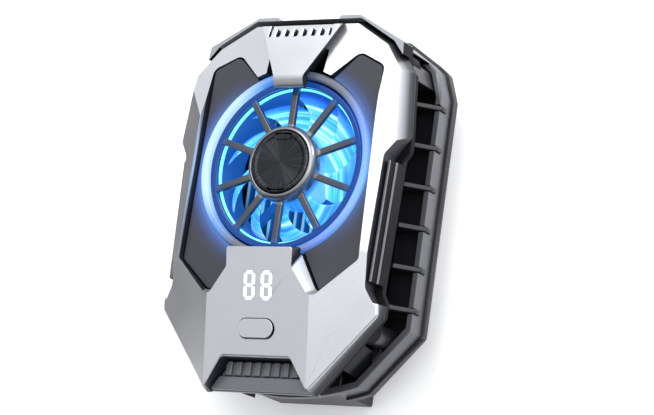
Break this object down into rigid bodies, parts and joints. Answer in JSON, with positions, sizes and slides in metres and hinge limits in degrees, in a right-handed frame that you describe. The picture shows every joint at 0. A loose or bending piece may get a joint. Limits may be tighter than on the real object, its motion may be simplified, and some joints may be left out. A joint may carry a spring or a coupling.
{
  "type": "phone cooling fan",
  "caption": "Clip-on phone cooler with a guarded fan, faceted silver shell, lit ring, figure display, press button, side vent ribs, cold plate and a sprung clip.",
  "frame": {"origin": "centre of the cold plate's contact face, on the fan axis", "axes": "+Z along the fan axis out of the front, +Y to the top of the face, +X to the right seen from the front"},
  "size_m": [0.063, 0.0914, 0.0394],
  "materials": {
    "silver_paint": "silver metallic paint",
    "inlay": "satin, dark grey",
    "ring_lens": "frosted, lit from behind",
    "glow": "lit cyan light guide",
    "circuit": "green solder mask",
    "gunmetal": "gloss gunmetal",
    "cap": "radially brushed, dark",
    "button": "satin silver",
    "digits": "milky, lit white",
    "dark_plastic": "fine moulded texture",
    "grey_plastic": "fine moulded texture",
    "light_plastic": "fine moulded texture",
    "blade": "clear tinted blue",
    "steel": "plated",
    "magnet": "bonded ferrite",
    "bronze": "sintered bronze",
    "lamination": "stamped electrical steel",
    "copper_wire": "enamelled copper",
    "sink": "black anodised",
    "ceramic": "alumina",
    "foam": "closed-cell foam",
    "plate": "bead blasted",
    "pad": "silicone"
  },
  "bodies": {
    "cooler": {"front_shell": "silver_paint", "left_inlay": "inlay", "right_inlay": "inlay", "light_ring": "ring_lens", "glow_ring": "glow", "led_board": "circuit", "fan_guard": "gunmetal", "hub_cap": "cap", "digit_light_guide": "digits", "control_board": "circuit", "tact_switch": "dark_plastic", "top_vent_insert": "dark_plastic", "bottom_grille": "grey_plastic", "mid_frame": "grey_plastic", "bearing_sleeve": "bronze", "stator_core": "lamination", "stator_coils": "copper_wire", "fan_frame": "dark_plastic", "fan_screws": "steel", "heat_sink": "sink", "peltier_module": "ceramic", "foam_gasket": "foam", "cold_plate": "plate", "plate_screws": "steel", "left_vent_ribs": "dark_plastic", "right_vent_ribs": "dark_plastic", "rear_housing": "light_plastic", "rear_cover": "dark_plastic", "housing_screws": "steel", "usb_socket": "steel", "usb_board": "circuit", "clip_guide": "dark_plastic", "guide_screws": "steel", "clip_springs": "steel", "upper_jaw": "dark_plastic", "upper_jaw_pad": "pad", "jaw_screws": "steel", "left_upper_block": "dark_plastic", "right_upper_block": "dark_plastic", "left_lower_block": "dark_plastic", "right_lower_block": "dark_plastic"},
    "rotor": {"impeller": "blade", "rotor_yoke": "steel", "rotor_magnet": "magnet", "rotor_shaft": "steel"},
    "button": {"power_button": "button"},
    "clip_jaw": {"lower_jaw": "dark_plastic", "lower_jaw_pad": "pad"}
  },
  "joints": [
    {"name": "fan_spin", "type": "hinge", "parent": "cooler", "child": "rotor", "pos_m": [0, 0, 0], "axis": [0, 0, 1], "continuous": true},
    {"name": "button_press", "type": "slide", "parent": "cooler", "child": "button", "axis": [0, 0.1908, -0.9816], "range_m": [0, 0.0005], "stiffness_N_per_m": 800},
    {"name": "clip_slide", "type": "slide", "parent": "cooler", "child": "clip_jaw", "axis": [0, -1, 0], "range_m": [0, 0.02], "stiffness_N_per_m": 150}
  ]
}
